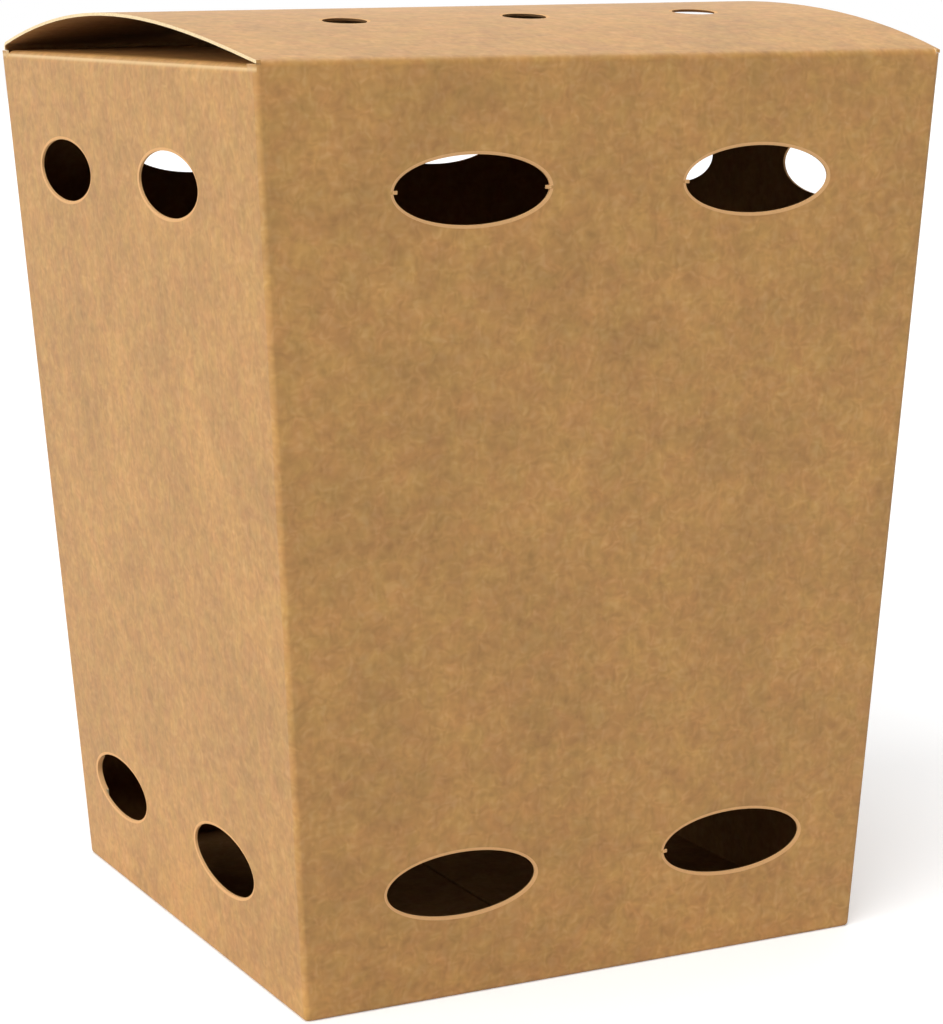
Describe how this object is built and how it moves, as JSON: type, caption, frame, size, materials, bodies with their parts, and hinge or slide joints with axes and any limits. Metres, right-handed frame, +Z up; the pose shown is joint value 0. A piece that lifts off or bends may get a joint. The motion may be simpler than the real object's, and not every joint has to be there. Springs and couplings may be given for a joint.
{
  "type": "fries box",
  "caption": "Tapered square takeaway box of kraft board with oval vents in all walls, an arched hinged lid on the front wall and a tuck flap at the back.",
  "frame": {"origin": "middle of the base, on the surface it stands on", "axes": "+Z up, -Y towards the front wall that carries the lid, +X to the right"},
  "size_m": [0.1446, 0.1466, 0.1899],
  "materials": {
    "kraft_board": "matt uncoated solid board, brown on both sides"
  },
  "bodies": {
    "box": {"carton": "kraft_board"},
    "lid": {"lid": "kraft_board"}
  },
  "joints": [
    {"name": "lid_crease", "type": "hinge", "parent": "box", "child": "lid", "pos_m": [0, -0.07325, 0.18], "axis": [1, 0, 0], "range_deg": [0, 250]}
  ]
}
